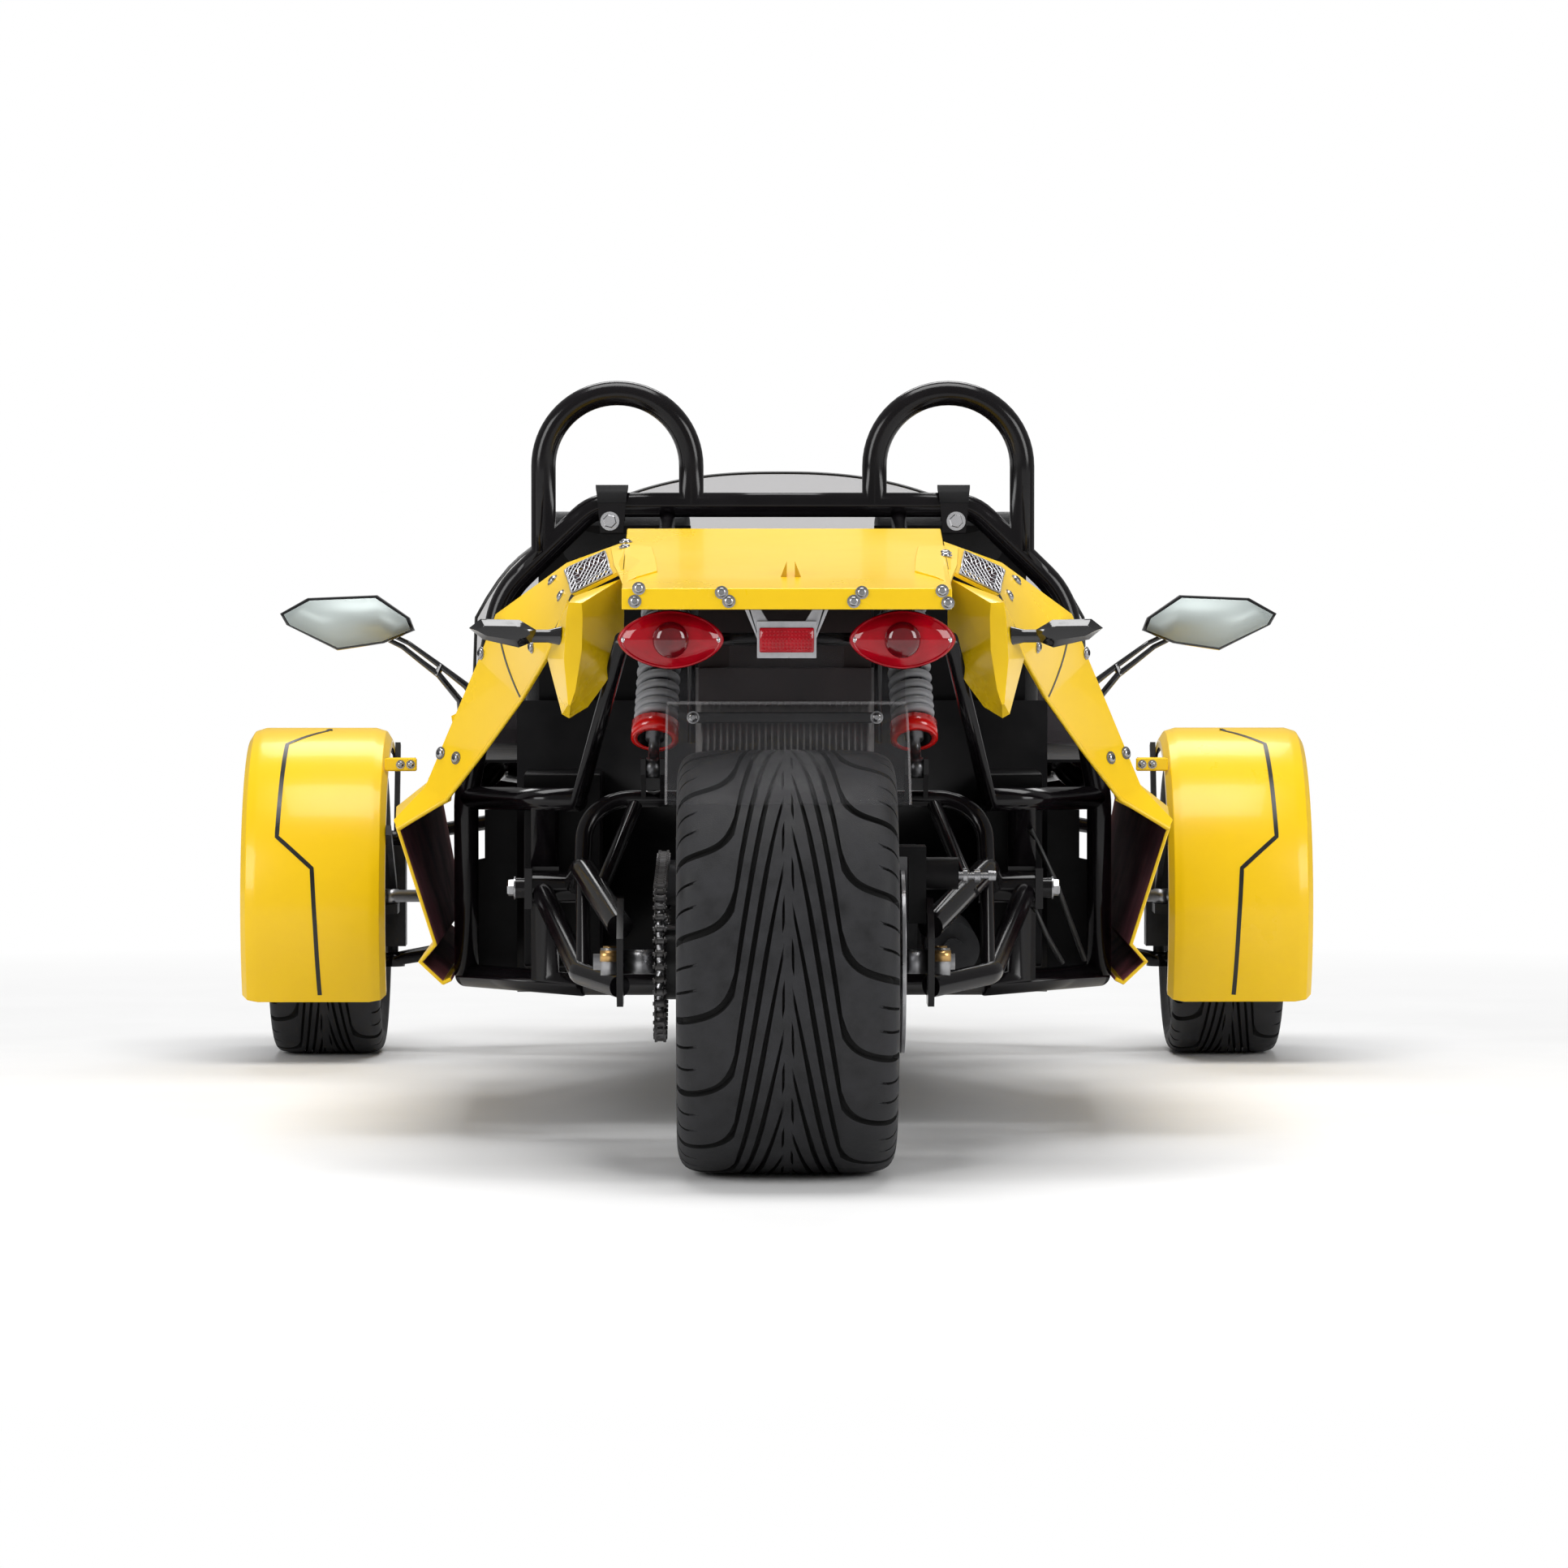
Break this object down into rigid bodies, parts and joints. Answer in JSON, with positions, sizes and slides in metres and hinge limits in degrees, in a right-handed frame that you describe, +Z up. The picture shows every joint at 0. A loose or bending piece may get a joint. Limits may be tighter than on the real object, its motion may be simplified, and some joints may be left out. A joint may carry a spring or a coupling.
{
  "type": "three wheeled car",
  "caption": "Open three wheeled roadster with side by side seats, steered front wheels under cycle wings, a chain driven rear wheel, roll hoops and yellow panels.",
  "frame": {"origin": "on the ground below the middle of the bounding box", "axes": "+Y forward, +X to the vehicle's right, +Z up"},
  "size_m": [1.566, 2.55, 0.978],
  "materials": {
    "yellow_paint": "gloss",
    "black_tube": "gloss",
    "tyre_rubber": "matte",
    "black_alloy": "satin",
    "disc_steel": "satin",
    "chain_steel": "satin",
    "cast_metal": "matte",
    "brass": "satin",
    "spring_grey": "gloss",
    "damper_metal": "satin",
    "red_paint": "gloss",
    "black_plastic": "matte",
    "mesh_metal": "satin",
    "red_lens": "gloss",
    "clear_plastic": "gloss",
    "seat_cover": "satin",
    "grip_leather": "satin",
    "mirror_face": "gloss",
    "cable_rubber": "matte"
  },
  "bodies": {
    "chassis": {"tail_deck": "yellow_paint", "quarter_panels": "yellow_paint", "tail_fins": "yellow_paint", "side_pods": "yellow_paint", "bonnet": "yellow_paint", "roll_hoops": "black_tube", "lower_rails": "black_tube", "upper_rails": "black_tube", "rear_frame": "black_tube", "swing_arm": "black_tube", "wishbones": "black_tube", "brackets": "black_tube", "rear_axle": "disc_steel", "drive_chain": "chain_steel", "engine": "cast_metal", "cooler": "cast_metal", "chain_adjusters": "brass", "springs": "spring_grey", "dampers": "damper_metal", "spring_cups": "red_paint", "tub": "black_plastic", "cockpit_trim": "black_plastic", "side_boxes": "black_plastic", "turn_signals": "black_plastic", "mirrors": "black_plastic", "front_valance": "black_plastic", "rear_caliper": "black_plastic", "controls": "black_plastic", "steering_column": "black_plastic", "headlamps": "black_plastic", "tail_lamp_bodies": "black_plastic", "mesh_vents": "mesh_metal", "plate_bracket": "mesh_metal", "red_lenses": "red_lens", "clear_guard": "clear_plastic", "windscreen": "clear_plastic", "headlamp_lenses": "clear_plastic", "seats": "seat_cover", "mirror_glass": "mirror_face", "brake_cables": "cable_rubber"},
    "rear_wheel": {"rear_tyre": "tyre_rubber", "rear_rim": "black_alloy", "rear_sprocket": "disc_steel", "rear_disc": "disc_steel"},
    "left_knuckle": {"knuckle_left": "cast_metal", "wing_left": "yellow_paint"},
    "right_knuckle": {"knuckle_right": "cast_metal", "wing_right": "yellow_paint"},
    "left_wheel": {"tyre_left": "tyre_rubber", "rim_left": "black_alloy", "disc_left": "disc_steel"},
    "right_wheel": {"tyre_right": "tyre_rubber", "rim_right": "black_alloy", "disc_right": "disc_steel"},
    "rack": {"steering_rack": "disc_steel"},
    "hand_wheel": {"steering_wheel": "grip_leather"}
  },
  "joints": [
    {"name": "left_steer", "type": "hinge", "parent": "chassis", "child": "left_knuckle", "pos_m": [-0.572, 0.834, 0.227], "axis": [0, 0, 1], "range_deg": [-28, 28]},
    {"name": "right_steer", "type": "hinge", "parent": "chassis", "child": "right_knuckle", "pos_m": [0.572, 0.834, 0.227], "axis": [0, 0, 1], "range_deg": [-28.5, 28.5]},
    {"name": "rack_slide", "type": "slide", "parent": "chassis", "child": "rack", "axis": [1, 0, 0], "range_m": [-0.0428, 0.0428]},
    {"name": "hand_wheel_turn", "type": "hinge", "parent": "chassis", "child": "hand_wheel", "pos_m": [-0.22, 0.074, 0.566], "axis": [-0.1082, -0.9303, 0.3505], "range_deg": [-141, 141]},
    {"name": "left_spin", "type": "hinge", "parent": "left_knuckle", "child": "left_wheel", "pos_m": [-0.665, 0.834, 0.227], "axis": [1, 0, 0], "continuous": true},
    {"name": "right_spin", "type": "hinge", "parent": "right_knuckle", "child": "right_wheel", "pos_m": [0.665, 0.834, 0.227], "axis": [1, 0, 0], "continuous": true},
    {"name": "rear_spin", "type": "hinge", "parent": "chassis", "child": "rear_wheel", "pos_m": [0, -1.016, 0.259], "axis": [1, 0, 0], "continuous": true}
  ],
  "couplings": [
    {"joint": "right_steer", "follows": "left_steer", "ratio": 1},
    {"joint": "rack_slide", "follows": "left_steer", "m_per_rad": 0.08646},
    {"joint": "hand_wheel_turn", "follows": "left_steer", "ratio": 5}
  ]
}
